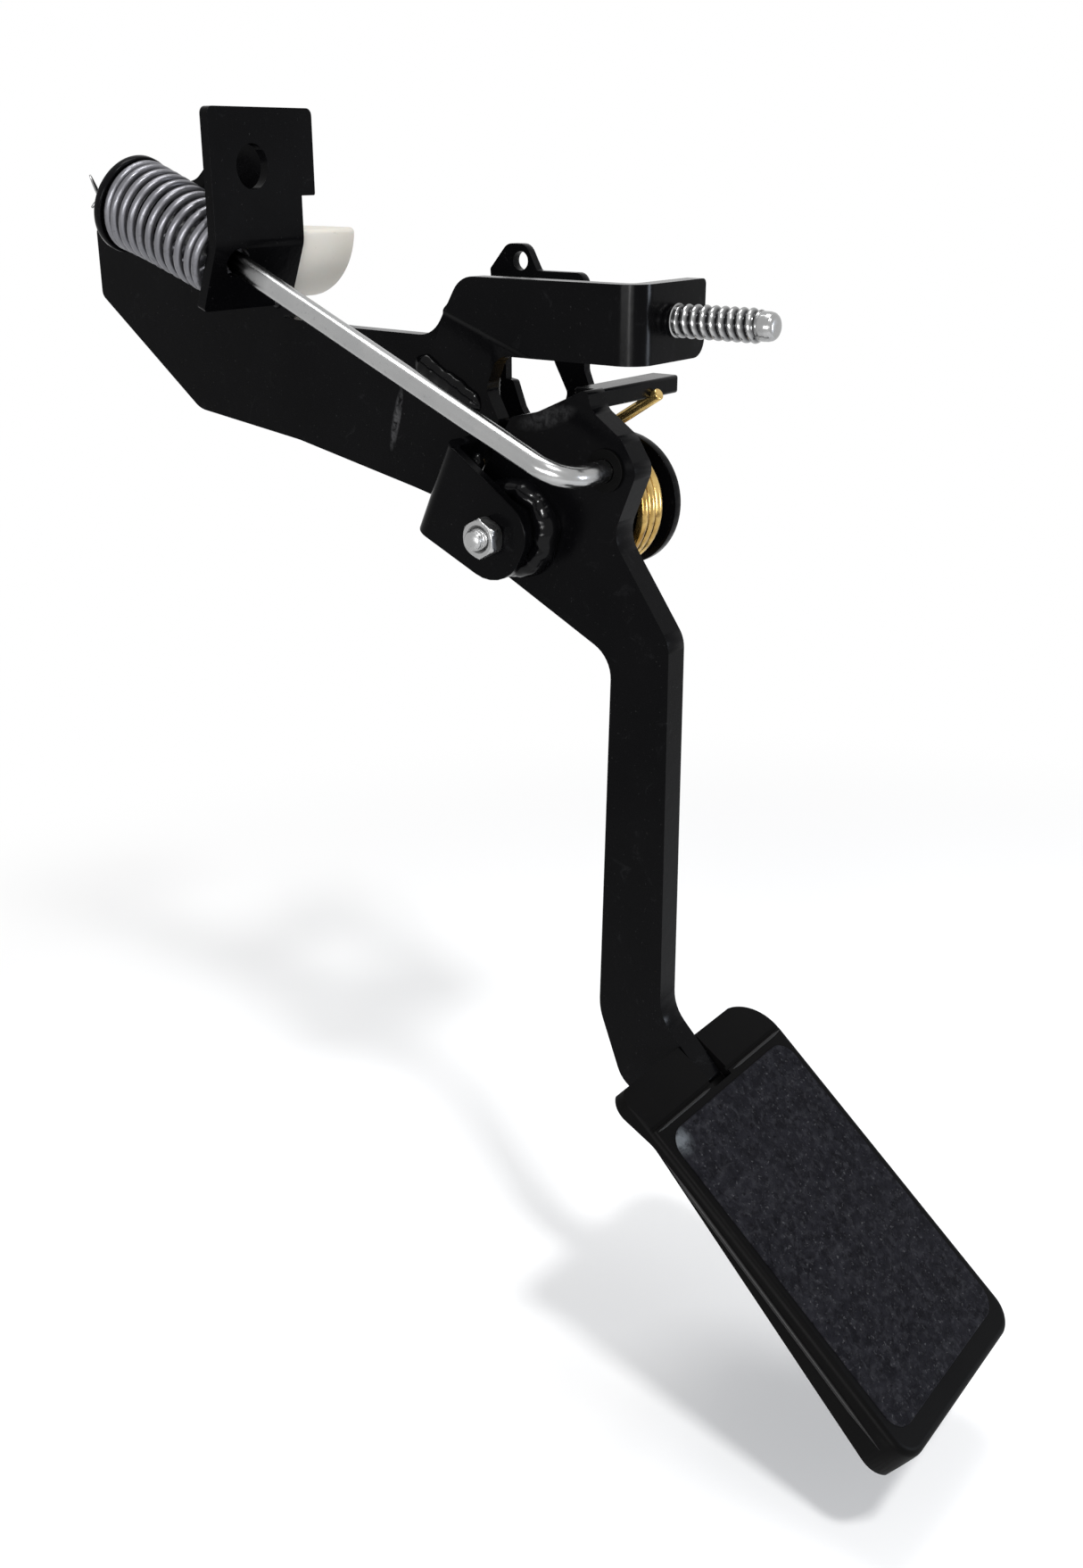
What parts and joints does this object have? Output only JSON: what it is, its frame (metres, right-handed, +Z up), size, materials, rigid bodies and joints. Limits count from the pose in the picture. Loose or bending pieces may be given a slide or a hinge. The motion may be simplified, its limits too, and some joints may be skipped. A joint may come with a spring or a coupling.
{
  "type": "accelerator pedal",
  "caption": "Hanging accelerator pedal: padded steel lever on a welded bracket with a torsion return spring, and a hooked pull rod that compresses a spring behind an upright plate.",
  "frame": {"origin": "centre of the stud at the start of its thread, 0.8 mm off the outer face of the end flange", "axes": "+X along the pivot axis, away from the pull rod's side; +Y away from the driver; +Z up"},
  "size_m": [0.0912, 0.3224, 0.3432],
  "materials": {
    "black_paint": "gloss",
    "zinc": "bright zinc plate",
    "spring_steel": "plain spring steel",
    "yellow_zinc": "yellow zinc plate",
    "nylon": "satin",
    "black_nylon": "satin",
    "moulding": "moulded satin",
    "grip": "speckled"
  },
  "bodies": {
    "bracket": {"main_plate": "black_paint", "flange_stud": "zinc", "upright_bracket": "black_paint", "pivot_strap": "black_paint", "rear_bracket": "black_paint", "pivot_bolt": "zinc", "pivot_nut": "zinc", "pivot_sleeve": "zinc", "nylon_block": "nylon", "block_rivet": "black_paint", "compression_spring": "spring_steel"},
    "lever": {"pedal_lever": "black_paint", "pivot_boss": "black_paint", "spring_tab": "black_paint", "torsion_spring": "yellow_zinc", "rod_bush": "black_nylon", "spring_guide": "black_nylon", "front_bush": "nylon", "rear_bush": "nylon", "pad_cover": "moulding", "pad_plate": "black_paint", "grip_insert": "grip"},
    "rod": {"pull_rod": "zinc", "end_washer": "black_paint", "split_pin": "zinc", "rod_clip": "zinc"}
  },
  "joints": [
    {"name": "pedal", "type": "hinge", "parent": "bracket", "child": "lever", "pos_m": [-0.015, 0.039, -0.0565], "axis": [1, 0, 0], "range_deg": [0, 20], "stiffness_Nm_per_rad": 6, "springref_deg": -20.05, "deforming": ["torsion_spring", "compression_spring"]},
    {"name": "rod_hook", "type": "hinge", "parent": "lever", "child": "rod", "pos_m": [-0.015, 0.0101, -0.0375], "axis": [1, 0, 0], "range_deg": [-16.7, 0.1]}
  ],
  "couplings": [
    {"joint": "rod_hook", "follows": "pedal", "ratio": -0.83}
  ]
}
